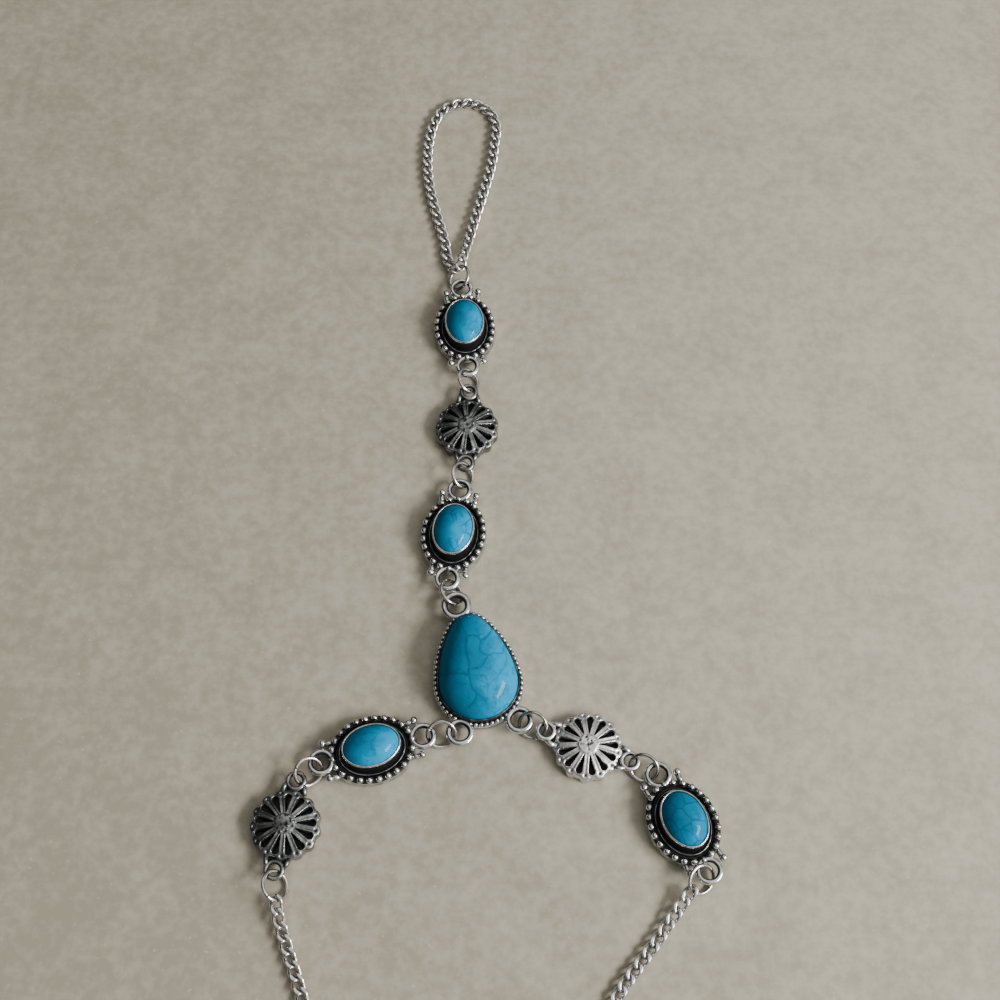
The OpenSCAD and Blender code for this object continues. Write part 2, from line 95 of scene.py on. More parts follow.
# Chain routes, as in part.scad: x, y, rise above the lying chain
FINGER_ROUTE = [
    (-2.95, 63.41, 1.30), (-2.57, 65.27, 1.20), (-2.07, 67.47, 0.62), (-1.57, 69.97, 0.12),
    (-0.82, 73.17, 0.02), (0.03, 76.47, 0), (0.88, 79.97, 0), (1.58, 83.37, 0),
    (1.95, 86.90, 0), (2.20, 89.87, 0), (1.30, 92.75, 0), (-1.13, 94.50, 0),
    (-4.05, 94.45, 0), (-6.32, 92.77, 0), (-7.52, 90.13, 0), (-8.05, 87.17, 0),
    (-8.22, 83.97, 0), (-8.07, 80.77, 0), (-7.57, 77.57, 0), (-6.87, 74.37, 0),
    (-6.07, 71.37, 0), (-5.37, 68.57, 0), (-4.97, 65.67, 0.08), (-3.90, 63.21, 0.50)]
LEFT_ROUTE = [
    (-23.81, -27.06, 0.90), (-23.47, -28.93, 0.60), (-22.82, -31.03, 0.14), (-21.87, -33.63, 0.02),
    (-20.77, -36.53, 0), (-19.67, -39.83, 0), (-18.47, -43.43, 0), (-17.27, -47.23, 0),
    (-15.97, -51.23, 0), (-14.27, -55.23, 0), (-12.17, -59.03, 0.04), (-8.97, -61.73, 0.26),
    (-5.28, -63.11, 0.90)]
RIGHT_ROUTE = [
    (25.63, -25.87, 0.90), (24.43, -27.33, 0.60), (22.93, -29.33, 0.14), (21.13, -31.73, 0.02),
    (19.13, -34.23, 0), (16.93, -37.03, 0), (15.13, -40.13, 0), (13.93, -43.63, 0),
    (13.43, -47.43, 0), (13.43, -51.33, 0), (13.13, -55.13, 0), (11.83, -58.43, 0.04),
    (9.23, -61.53, 0.30), (6.00, -63.46, 0.90)]


def step(p, heading, distance):
    """The point at a heading and distance from p."""
    h = math.radians(heading)
    return np.array([p[0] - distance * math.sin(h), p[1] + distance * math.cos(h)])


def pear_eye(i):
    """The middle of one of the pear's eyes."""
    heading, stand = PEAR_EYES[i][:2]
    if i == 0:
        return step(step((0, 0), PEAR_LEAN, PEAR_LONG), heading, PEAR_R2 + PEAR_EDGE_GROW + stand)
    return step((0, 0), heading, PEAR_R1 + PEAR_EDGE_GROW + stand)


def arm(rows, eye):
    """The middle of each ring and piece of an arm, and the arm's last eye."""
    rings, middles = [], []
    for heading, near, far, kind, turn, side in rows:
        reach = OVAL_REACH if kind == OVAL else DAISY_REACH
        rings.append((step(eye, heading, RING_RADIUS + near), heading, side))
        eye = step(eye, heading, 2 * RING_RADIUS + near + far)
        middles.append((step(eye, turn, reach), turn))
        eye = step(eye, turn, 2 * reach)
    return rings, middles, eye


finger_rings, finger_pieces, finger_eye = arm(FINGER_ARM, pear_eye(0))
left_rings, left_pieces, left_eye = arm(LEFT_ARM, pear_eye(1))
right_rings, right_pieces, right_eye = arm(RIGHT_ARM, pear_eye(2))
# The rings that end the chains: eye, heading, play
ENDS = {
    "finger": (finger_eye, 11.0, 0.25), "left": (left_eye, 187.5, 0.10), "right": (right_eye, 136.7, -0.30),
    "clasp": (CLASP, 57.3, 0.75), "tail": (TAIL, -57.3, 0.15)}


def end_middle(end):
    eye, heading, play = ENDS[end]
    return step(eye, heading, RING_RADIUS + play)


def end_ring(end):
    """The middle, heading and raised side of a ring that ends a chain."""
    return end_middle(end), ENDS[end][1], -1


def hook_point(end, turn=0.0):
    """The point of an end ring's wire on which a chain hangs, some degrees round from its top."""
    h, t, lean = math.radians(ENDS[end][1]), math.radians(turn), math.radians(RING_LEAN)
    m = end_middle(end)
    along, aside = RING_RADIUS * math.cos(t), RING_RADIUS * math.sin(t)
    return np.array([
        m[0] - along * math.sin(h) - aside * math.cos(lean) * math.cos(h),
        m[1] + along * math.cos(h) - aside * math.cos(lean) * math.sin(h),
        EYE_HEIGHT - aside * math.sin(lean)])


# Mesh building
def unit(v):
    """Vectors brought to length one."""
    v = np.asarray(v, float)
    return v / np.maximum(np.linalg.norm(v, axis=-1, keepdims=True), 1e-12)


def smooth(x, a, b):
    """A smooth step from 0 at a to 1 at b."""
    t = np.clip((x - a) / (b - a), 0, 1)
    return t * t * (3 - 2 * t)


def hump(x, width):
    """A rounded hump of height 1 about x = 0."""
    return np.exp(-(x / width) ** 2)


def angles(n):
    """Angles at even spacing round a full turn."""
    return np.linspace(0, 2 * math.pi, n, endpoint=False)


def circle(centre, radius, n):
    """A level circle at the height of the eyes."""
    a = angles(n)
    x, y = centre[0] + radius * np.cos(a), centre[1] + radius * np.sin(a)
    return np.stack([x, y, np.full(n, EYE_HEIGHT)], -1)


class Shape:
    """Points with a share of black each, for oxide and for painted shade, and faces."""

    def __init__(self):
        self.points, self.oxide, self.faces, self.count = [], [], [], 0

    def add(self, points, faces, oxide=0.0):
        points = np.asarray(points, float).reshape(-1, 3)
        self.points.append(points)
        self.oxide.append(np.broadcast_to(np.asarray(oxide, float).reshape(-1), (len(points),)))
        self.faces += [tuple(int(i) + self.count for i in f) for f in faces]
        self.count += len(points)

    def rows(self, grid, oxide=0.0, close_rows=False, caps=False):
        """A surface through rows of points that each run round in a ring.

        The share of black, for oxide and painted shade, is one for all, one a row or one a point.
        """
        m, n = grid.shape[:2]
        faces = []
        for i in range(m if close_rows else m - 1):
            a, b = i * n, (i + 1) % m * n
            faces += [(a + j, a + (j + 1) % n, b + (j + 1) % n, b + j) for j in range(n)]
        if caps:
            faces.append(tuple(range(n))[::-1])
            faces.append(tuple((m - 1) * n + j for j in range(n)))
        oxide = np.asarray(oxide, float)
        if oxide.ndim == 1 and len(oxide) == m:
            oxide = np.repeat(oxide, n)
        self.add(grid.reshape(-1, 3), faces, oxide)

    def ball(self, centre, radius, n=18, m=11):
        """A ball that is black below: painted shade on its underside."""
        a = angles(n)
        e = np.linspace(-math.pi / 2, math.pi / 2, m + 2)[1:-1]
        grid = np.stack([
            np.cos(e)[:, None] * np.cos(a), np.cos(e)[:, None] * np.sin(a),
            np.repeat(np.sin(e)[:, None], n, 1)], -1) * radius + np.asarray(centre)
        self.rows(grid, np.repeat(0.9 * smooth(-np.sin(e), -0.1, 0.7), n), caps=True)

    def tube(self, path, radius, sides=14, closed=True, up=UP, oxide=0.0, below=0.0, within=0.0):
        """A wire along a path, with oxide all over, and painted shade below and on the side within its round.
        """
        path = np.asarray(path, float)
        if closed:
            t = unit(np.roll(path, -1, 0) - np.roll(path, 1, 0))
        else:
            t = unit(np.gradient(path, axis=0))
        a = unit(np.cross(np.broadcast_to(up, t.shape), t))
        b = np.cross(t, a)
        q = angles(sides)
        radius = np.broadcast_to(np.asarray(radius, float).reshape(-1, 1, 1), (len(path), 1, 1))
        outward = np.cos(q)[None, :, None] * a[:, None] + np.sin(q)[None, :, None] * b[:, None]
        # Painted shade: black on the side that faces down (below) and on the side that faces the round's
        # middle (within)
        shade = np.maximum(oxide, below * smooth(-outward[:, :, 2], -0.5, 0.5))
        shade = np.maximum(shade, within * smooth(np.cos(q), 0.0, 0.75))
        self.rows(path[:, None] + radius * outward, shade.reshape(-1), close_rows=closed, caps=not closed)

    def moved(self, centre, heading=0.0, height=0.0):
        """Turned to a heading and brought to its place."""
        h = math.radians(heading)
        turn = np.array([[math.cos(h), math.sin(h), 0], [-math.sin(h), math.cos(h), 0], [0, 0, 1]])
        self.points = [p @ turn + np.array([centre[0], centre[1], height]) for p in self.points]
        return self

    def piece(self, name, material, nodes, extra=None):
        """Made into a mesh that takes the place of the part's nodes."""
        mesh = bpy.data.meshes.new(name)
        mesh.from_pydata((np.concatenate(self.points) * MM).tolist(), [], self.faces)
        mesh.update()
        for key, values in {"oxide": np.concatenate(self.oxide), **(extra or {})}.items():
            layer = mesh.attributes.new(key, "FLOAT", "POINT")
            layer.data.foreach_set("value", np.asarray(values, np.float32))
        bm = bmesh.new()
        bm.from_mesh(mesh)
        bmesh.ops.recalc_face_normals(bm, faces=bm.faces)
        bm.to_mesh(mesh)
        bm.free()
        mesh.polygons.foreach_set("use_smooth", [True] * len(mesh.polygons))
        obj = bpy.data.objects.new(name, mesh)
        bpy.context.scene.collection.objects.link(obj)
        mesh.materials.append(material)
        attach(obj, "root")
        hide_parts(*nodes)
        return obj


def ellipse(half, z, n, wobble=0.0):
    """A level ellipse, from its half sizes."""
    a = angles(n)
    k = 1.0 + wobble
    return np.stack([half[0] * np.cos(a) * k, half[1] * np.sin(a) * k, np.full(n, float(z))], -1)


def level(outline, z):
    """An outline brought to a height."""
    return np.column_stack([outline, np.full(len(outline), float(z))])


def spaced(outline, count):
    """Points at even spacing round a closed outline."""
    p = np.vstack([outline, outline[:1]])
    s = np.r_[0, np.cumsum(np.linalg.norm(np.diff(p, axis=0), axis=1))]
    t = s[-1] * np.arange(count) / count
    return np.stack([np.interp(t, s, p[:, 0]), np.interp(t, s, p[:, 1])], -1)


def ripple(n, size):
    """A small closed irregularity round a ring of n points."""
    a = angles(n)
    out = np.zeros(n)
    for wave in range(2, 11):
        out += rng.normal() * np.cos(wave * a + rng.uniform(0, 6.28)) / wave
    return out * size


# Materials
# The black of oxide, which also paints shade where the mesh marks it
OXIDE_AND_SHADE = (0.012, 0.012, 0.014, 1)
# Turquoise from its dark side to its pale side, painted as shade and light across each stone and mixed with
# its cloud, and the marks in it
DEEP, BLUE, PALE = (0.0, 0.125, 0.225, 1), (0.0, 0.18, 0.34, 1), (0.0, 0.27, 0.52, 1)
DUST, PATCH, VEIN = (0.0, 0.28, 0.48, 1), (0.0, 0.11, 0.19, 1), (0.0, 0.045, 0.10, 1)


def material(name):
    """A material and its empty node tree."""
    m = bpy.data.materials.new(name)
    m.use_nodes = True
    m.node_tree.nodes.clear()
    return m, Nodes(m.node_tree)


class Nodes:
    """Short calls for building a material's nodes."""

    def __init__(self, tree):
        self.tree = tree

    def new(self, kind, inputs=None, **fields):
        node = self.tree.nodes.new(kind)
        for key, value in fields.items():
            setattr(node, key, value)
        for key, value in (inputs or {}).items():
            if isinstance(value, bpy.types.NodeSocket):
                self.tree.links.new(value, node.inputs[key])
            else:
                node.inputs[key].default_value = value
        return node

    def math(self, how, a, b=0.0, clamp=False):
        return self.new("ShaderNodeMath", {0: a, 1: b}, operation=how, use_clamp=clamp).outputs[0]

    def times(self, a, b):
        return self.math("MULTIPLY", a, b)

    def plus(self, a, b, clamp=False):
        return self.math("ADD", a, b, clamp)

    def minus(self, a, b):
        return self.math("SUBTRACT", a, b)

    def span(self, value, a, b, c=0.0, d=1.0):
        """A smooth step from c at a to d at b."""
        inputs = {0: value, 1: a, 2: b, 3: c, 4: d}
        return self.new("ShaderNodeMapRange", inputs, interpolation_type="SMOOTHSTEP").outputs[0]

    def mix(self, share, a, b):
        node = self.new("ShaderNodeMix", data_type="RGBA")
        for socket, value in ((node.inputs[0], share), (node.inputs[6], a), (node.inputs[7], b)):
            if isinstance(value, bpy.types.NodeSocket):
                self.tree.links.new(value, socket)
            else:
                socket.default_value = value
        return node.outputs[2]

    def noise(self, at, scale, detail=3.0, rough=0.55):
        inputs = {"Vector": at, "Scale": scale, "Detail": detail, "Roughness": rough}
        return self.new("ShaderNodeTexNoise", inputs).outputs[0]

    def place(self, kind):
        return self.new("ShaderNodeTexCoord").outputs[kind]

    def mark(self, name):
        """A value that the mesh carries."""
        return self.new("ShaderNodeAttribute", attribute_name=name).outputs["Fac"]

    def finish(self, shader):
        self.new("ShaderNodeOutputMaterial", {"Surface": shader.outputs[0]})


def silver(name, bright, dark, rough, black=1.0, grain=0.12):
    """Polished silver whose hollows hold black oxide, and whose marked places are black with oxide and with
    painted shade.

    A mark below zero keeps a place clean where it is hollow too. The least roughness is rough, the most
    oxide in a hollow is black, and the height of the surface's small lumps is grain.
    """
    m, n = material(name)
    at = n.place("Object")
    oxide = n.mark("oxide")
    mottle = n.noise(at, 900.0, detail=4.0)
    fine = n.noise(at, 4200.0)
    hollow = n.new("ShaderNodeAmbientOcclusion", {"Distance": 0.0007}, samples=8).outputs["AO"]
    dirt = n.times(n.span(hollow, 0.80, 0.40), n.span(oxide, -0.3, -0.1, 0.0, black))
    wear_and_painted_light = n.plus(n.times(oxide, 1.15), n.times(n.minus(mottle, 0.5), 0.7))
    share = n.math("MAXIMUM", n.span(wear_and_painted_light, 0.25, 0.85), dirt, clamp=True)
    tone = n.mix(n.span(mottle, 0.35, 0.65), bright, dark)
    # Black where there is oxide and where the mesh marks painted shade
    colour = n.mix(share, tone, OXIDE_AND_SHADE)
    roughness = n.plus(n.times(share, 0.30), n.times(fine, 0.16))
    lumps = n.plus(n.times(fine, grain * 4), n.times(mottle, grain * 6))
    bump = n.new("ShaderNodeBump", {"Strength": 0.35, "Distance": 0.00003, "Height": lumps})
    n.finish(n.new("ShaderNodeBsdfPrincipled", {
        "Base Color": colour, "Metallic": n.minus(1.0, n.times(share, 0.55)),
        "Roughness": n.plus(roughness, rough), "Normal": bump.outputs[0]}))
    return m


def turquoise(name, shift, veins):
    """Polished turquoise: blue painted paler towards its lit side and clouded, dark veins from the mesh and
    finer ones in the stone.
    """
    m, n = material(name)
    placed = {"Vector": n.place("Object"), "Location": shift, "Rotation": (0.4, 0.7, shift[0] * 900)}
    at = n.new("ShaderNodeMapping", placed).outputs[0]
    warp = n.new("ShaderNodeTexNoise", {"Vector": at, "Scale": 420.0, "Detail": 3.0})
    bent = n.new("ShaderNodeMix", {0: 0.0011, 4: at, 5: warp.outputs["Color"]}, data_type="VECTOR")
    bends = {"Vector": bent.outputs[1], "Scale": 450.0}
    cells = n.new("ShaderNodeTexVoronoi", bends, feature="DISTANCE_TO_EDGE")
    fade = n.span(n.noise(at, 260.0, detail=2.0), 0.36, 0.56)
    line = n.times(n.span(cells.outputs["Distance"], 0.075, 0.0), fade)
    drawn = n.mark("vein")
    cloud = n.noise(at, 330.0, detail=4.0, rough=0.6)
    dust = n.noise(at, 2600.0, rough=0.6)
    # Painted light: paler towards the side that the window lights, mixed with the stone's own cloud
    pale = n.plus(n.mark("painted_lit_side"), n.times(n.minus(cloud, 0.47), 1.5), clamp=True)
    base = n.mix(n.span(pale, 0.0, 0.6), DEEP, BLUE)
    base = n.mix(n.span(pale, 0.5, 1.0), base, PALE)
    base = n.mix(n.times(n.span(dust, 0.5, 0.8), 0.12), base, DUST)
    patch = n.span(n.noise(at, 620.0, rough=0.7), 0.49, 0.64)
    base = n.mix(n.times(patch, 0.5), base, PATCH)
    dark = n.math("MAXIMUM", n.times(line, 0.55 * veins), drawn, clamp=True)
    colour = n.mix(dark, base, VEIN)
    height = n.minus(n.times(cloud, 0.5), dark)
    bump = n.new("ShaderNodeBump", {"Strength": 0.12, "Distance": 0.00005, "Height": height})
    n.finish(n.new("ShaderNodeBsdfPrincipled", {
        "Base Color": colour, "Roughness": n.plus(n.times(dust, 0.10), 0.13),
        "Specular IOR Level": 0.0, "Coat Weight": 0.16, "Coat Roughness": 0.04, "Normal": bump.outputs[0]}))
    return m


# Each silver: its brighter and darker tone, and least roughness
CAST = silver("cast silver", (0.82, 0.84, 0.85, 1), (0.50, 0.51, 0.51, 1), 0.07)
# The daisies' silver in two copies that differ by painted light: a dark copy painted as if in shade, and a
# pale copy painted as if lit
CONCHO = silver("concho silver", (0.35, 0.36, 0.36, 1), (0.15, 0.16, 0.16, 1), 0.18, grain=0.3)
CONCHO_PAINTED_LIT = silver("worn concho silver", (0.90, 0.90, 0.89, 1), (0.62, 0.62, 0.61, 1), 0.20, grain=0.3)
WIRE = silver("drawn wire", (0.80, 0.79, 0.76, 1), (0.46, 0.45, 0.43, 1), 0.08, black=0.8)
LINKS = silver("chain silver", (0.92, 0.92, 0.91, 1), (0.74, 0.74, 0.73, 1), 0.09, black=0.75)


def eye(s, at, radius, wire):
    """A soldered eye: a round of wire, a little uneven."""
    n = 72
    uneven = 1 + 0.02 * np.cos(3 * angles(n) + at[0])
    # Painted shade: the eye's underside and inner side are marked black
    s.tube(circle(at, radius, n), wire / 2 * uneven, 18, oxide=0.15, below=0.95, within=0.9)


# Oval settings
def oval_setting(name, number, middle, heading):
    s = Shape()
    n = 120
    wobble = ripple(n, 0.006)
    edge, beads, rim = OVAL_FRAME, OVAL_BEADS, OVAL_RIM
    table = [
        # half sizes, height, oxide: up the side
        (edge - 0.16, 0.0, 0.3), (edge - 0.03, 0.05, 0.2), (edge, 0.16, 0.1), (edge, 0.40, 0.1),
        (edge - 0.03, 0.47, 0.3), (edge - 0.09, 0.52, 0.9), (edge - 0.09, 0.60, 0.9), (edge - 0.04, 0.66, 0.5),
        (edge - 0.02, 0.76, 0.2), (edge - 0.03, 1.16, 0.3), (edge - 0.06, FRAME - 0.16, 0.6),
        (edge - 0.14, FRAME - 0.07, 0.9), (edge - 0.24, FRAME - 0.05, 1),
        # across the border, the recess and the ridge
        (beads - 0.2, FRAME - 0.05, 1), (beads - 0.33, FRAME - 0.07, 1), (beads - 0.40, FRAME - 0.15, 1),
        (beads - 0.42, FRAME - 0.45, 1), (rim + 0.54, FRAME - 0.45, 1), (rim + 0.50, FRAME - 0.20, 1),
        (rim + 0.46, FRAME - 0.08, 0.5), (rim + 0.40, FRAME - 0.07, 0.5), (rim + 0.34, FRAME - 0.14, 1),
        (rim + 0.30, FRAME - 0.45, 1), (rim + 0.14, FRAME - 0.45, 1),
        # up the stone's rim and over it
        (rim + 0.10, 1.5, 1), (rim + 0.06, 2.2, 1), (rim + 0.03, 2.80, 1), (rim + 0.02, 3.04, 0.9),
        (rim, 3.13, 0.1), (rim - 0.04, 3.23, -0.2), (rim - 0.10, 3.29, -0.3),
        (rim - 0.16, OVAL_RIM_HEIGHT, -0.3), (OVAL_CUP + 0.02, 3.25, -0.2), (OVAL_CUP, 3.1, 0.6),
        (OVAL_CUP, FRAME, 1)]
    rim_foot, rim_edge = 24, slice(28, 33)
    grid = np.stack([ellipse(h, z, n, wobble if i >= rim_foot else 0.0) for i, (h, z, _) in enumerate(table)])
    grid[rim_edge, :, 2] += ripple(n, 0.008)[None, :]
    s.rows(grid, [row[2] for row in table], caps=True)
    for p in spaced(ellipse(OVAL_BEADS, 0, 240)[:, :2], OVAL_BEAD_COUNT):
        r = OVAL_BEAD / 2 * rng.uniform(0.94, 1.0)
        s.ball((p[0] + rng.normal(0, 0.015), p[1] + rng.normal(0, 0.015), FRAME + 0.1), r)
    for side in (-1, 1):
        eye(s, (0, side * OVAL_REACH), EYE_RADIUS + 0.03, EYE_WIRE + 0.06)
        for hand in (-1, 1):
            x, y = hand * OVAL_BALLS[0], side * OVAL_BALLS[1]
            s.ball((x, y, FRAME), OVAL_BALL / 2, 20, 13)
            stem = np.array([
                [x, y - side * 0.1, FRAME - 0.34], [x - hand * 0.05, y - side * 0.7, FRAME - 0.36],
                [x - hand * 0.1, y - side * 1.4, FRAME - 0.38]])
            # Painted shade: the stem's underside is marked black
            s.tube(stem, OVAL_STEM / 2 + 0.05, 14, closed=False, oxide=0.15, below=0.9)
    s.moved(middle, heading)
    return s.piece(name, CAST, [f"oval_setting_{number}"])


def painted_lit_side(s, middle, half, way, low=0.0, high=1.0):
    """How far each point of a stone lies towards its paler side, where it is painted as if lit."""
    p = np.concatenate(s.points)[:, :2] - middle
    return low + (high - low) * smooth(p @ np.array(way) / half, -1.0, 1.0)


# For each oval stone, how strong its veins are and how pale its two sides are painted, as painted shade and
# painted light
OVAL_VEINS = {1: 0.6, 2: 0.9, 3: 0.45, 4: 0.85}
OVAL_PAINTED_LIT_SIDE = {1: (0.0, 0.9), 2: (0.0, 0.9), 3: (0.2, 1.0), 4: (0.0, 0.42)}


def oval_stone(name, number, middle, heading):
    s = Shape()
    n, m = 96, 26
    low = OVAL_RIM_HEIGHT - 0.9
    spread = 1.07  # the dome is part of one this much wider, cut off at the stone's edge
    rows = [ellipse(OVAL_STONE - 0.1, FRAME + 0.03, n), ellipse(OVAL_STONE, FRAME + 0.12, n)]
    for t in np.linspace(math.asin(math.sqrt(1 - 1 / spread ** 2)), math.pi / 2 - 0.03, m):
        rows.append(ellipse(OVAL_STONE * spread * math.cos(t), low + (OVAL_TOP - low) * math.sin(t), n))
    s.rows(np.stack(rows), caps=True)
    s.moved(middle, heading)
    shift = (0.013 * number, -0.021 * number, 0.007 * number)
    look = turquoise(f"turquoise {number}", shift, OVAL_VEINS[number])
    # Painted light: the stone is painted paler towards its lower right
    pale = painted_lit_side(s, middle, 2.6, (0.93, -0.37), *OVAL_PAINTED_LIT_SIDE[number])
    return s.piece(name, look, [f"oval_stone_{number}"], {"painted_lit_side": pale})


# Pear
def pear(grow, fine=3):
    """The pear's outline, grown outwards: four arcs, with more points the higher fine is."""
    k = ((PEAR_SIDE - PEAR_R1) ** 2 - (PEAR_SIDE - PEAR_R2) ** 2 + PEAR_LONG ** 2) / (2 * PEAR_LONG)
    m = math.sqrt((PEAR_SIDE - PEAR_R1) ** 2 - k * k)
    a, b = math.atan2(-k, m), math.atan2(PEAR_LONG - k, m)

    def arc(cx, cy, r, t0, t1, count):
        t = t0 + (t1 - t0) * np.arange(count) / count
        return np.stack([cx + r * np.cos(t), cy + r * np.sin(t)], -1)

    return np.vstack([
        arc(-m, k, PEAR_SIDE + grow, a, b, 16 * fine),
        arc(0, PEAR_LONG, PEAR_R2 + grow, b, math.pi - b, 14 * fine),
        arc(m, k, PEAR_SIDE + grow, math.pi - b, math.pi - a, 16 * fine),
        arc(0, 0, PEAR_R1 + grow, math.pi - a, 2 * math.pi + a, 26 * fine)])


def pear_setting():
    s = Shape()
    g = PEAR_EDGE_GROW
    table = [
        # outward growth, height, oxide
        (g - 0.14, 0.0, 0.3), (g - 0.03, 0.05, 0.2), (g, 0.16, 0.1), (g, 0.42, 0.1), (g - 0.04, 0.50, 0.6),
        (g - 0.08, 0.56, 0.9), (g - 0.05, 0.64, 0.5), (g - 0.02, 0.74, 0.15), (g - 0.02, 1.16, 0.15),
        (g - 0.05, FRAME - 0.18, 0.4), (g - 0.13, FRAME - 0.09, 0.9), (g - 0.22, FRAME - 0.06, 1),
        (0.36, FRAME - 0.05, 1), (0.30, FRAME, 1), (0.27, FRAME + 0.2, 1), (0.26, 2.0, 1), (0.24, 2.20, 0.95),
        (0.20, 2.34, 0.75), (0.14, PEAR_RIM_HEIGHT, 0.6), (0.07, 2.38, 0.7), (STONE_GAP, 2.30, 0.9),
        (STONE_GAP, FRAME, 1)]
    s.rows(np.stack([level(pear(grow), z) for grow, z, _ in table]), [row[2] for row in table], caps=True)
    line = pear(PEAR_BEAD_GROW)
    run = np.linalg.norm(np.diff(np.vstack([line, line[:1]]), axis=0), axis=1).sum()
    for p in spaced(line, round(run / (PEAR_BEAD + BEAD_GAP))):
        s.ball((p[0], p[1], FRAME), PEAR_BEAD / 2 * rng.uniform(0.96, 1.03), 14, 9)
    s.moved((0, 0), PEAR_LEAN)
    for i, (_, _, radius, wire) in enumerate(PEAR_EYES):
        eye(s, pear_eye(i), radius + 0.07, wire + 0.14)
    return s.piece("pear_silver", CAST, ["pear_setting"])


# Veins drawn across the pear stone: width, depth, and points x, y from its round end's middle
PEAR_VEINS = [
    (0.09, 0.9, [(-0.56, 5.18), (0.68, 4.94), (1.09, 4.29), (2.04, 4.87), (2.80, 6.13), (2.72, 7.69)]),
    (0.08, 0.8, [(1.09, 4.29), (0.75, 2.92), (1.57, 2.13), (2.43, 2.35), (3.52, 2.35), (3.98, 3.82)]),
    (0.09, 0.9, [(-0.56, 5.18), (-1.00, 3.26), (-0.88, 1.42), (-1.12, 0.69)]),
    (0.09, 0.9, [(-1.12, 0.69), (0.37, 0.74), (1.53, 1.90)]),
    (0.09, 0.9, [(-1.12, 0.69), (-1.07, -1.52), (-0.60, -2.39), (-0.94, -3.10), (-1.80, -3.67)]),
    (0.07, 0.9, [(-4.85, 1.59), (-4.07, 0.90), (-3.22, 0.74), (-2.01, 0.37), (-1.28, -0.02)]),
    (0.08, 0.7, [(-0.60, -2.39), (0.29, -3.30), (0.51, -4.17)]),
    (0.08, 0.6, [(3.98, 3.82), (3.89, 1.44), (2.71, -0.38), (1.25, -1.45)]),
    (0.08, 0.6, [(-0.86, 8.87), (-0.91, 6.98), (-0.56, 5.18)])]


def pear_vein(p):
    """How dark the veins are at points of the pear stone: a line, and a fainter band beside it."""
    vein = np.zeros(len(p))
    for width, depth, route in PEAR_VEINS:
        q = np.array(route, float)
        q = curve(np.column_stack([q, np.zeros(len(q))]), 6)[:, :2]
        near = np.full(len(p), 9.0)
        for a, b in zip(q[:-1], q[1:]):
            d = b - a
            t = np.clip(((p - a) @ d) / (d @ d), 0, 1)
            near = np.minimum(near, np.linalg.norm(p - a - t[:, None] * d, axis=1))
        line, band = 1 - smooth(near, 0.0, width), 0.35 * (1 - smooth(near, 0, width * 4))
        vein = np.maximum(vein, depth * np.maximum(line, band))
    return vein * 0.85


def pear_stone():
    s = Shape()
    centre = np.array([0, PEAR_LONG * 0.3])
    outline = pear(0, 4)
    girdle = PEAR_RIM_HEIGHT - 0.25

    def scaled(size, z):
        return level(centre + (outline - centre) * size, z)

    rows = [scaled(0.985, FRAME + 0.03), level(outline, FRAME + 0.15), level(outline, girdle)]
    for t in np.linspace(0, math.pi / 2, 84)[1:-1]:
        rows.append(scaled(math.cos(t) ** 0.86, girdle + (PEAR_TOP - girdle) * math.sin(t)))
    grid = np.stack(rows)
    s.rows(grid, caps=True)
    vein = pear_vein(grid.reshape(-1, 3)[:, :2])
    s.moved((0, 0), PEAR_LEAN)
    look = turquoise("turquoise pear", (0.004, 0.003, 0.0), 0.3)
    # Painted light: the pear is painted paler towards its right
    pale = painted_lit_side(s, (0.0, 0.8), 4.8, (0.98, 0.12))
    return s.piece("pear_turquoise", look, ["pear_stone"], {"vein": vein, "painted_lit_side": pale})


# Daisy faces. The hollows between the ribs: middle of their near and far end, near end's radius, floor
SECTOR = 2 * math.pi / DAISY_RIBS
HOLLOW_NEAR, HOLLOW_FAR, HOLLOW_TIP, HOLLOW_FLOOR = 1.45, DAISY_RADIUS - 1.02, 0.04, 0.75
# A dent in each scallop, a seam along each rib and a groove inside the edge: distance out, width, depth
DENT_AT, DENT_WIDTH, DENT_DEPTH = 3.83, 0.16, 0.22
SEAM_WIDTH, SEAM_DEPTH = 0.16, 0.05
GROOVE_AT, GROOVE_WIDTH, GROOVE_DEPTH = 3.98, 0.05, 0.10
BOSS_LUMPS, BOSS_SPREAD = 34, 1.25


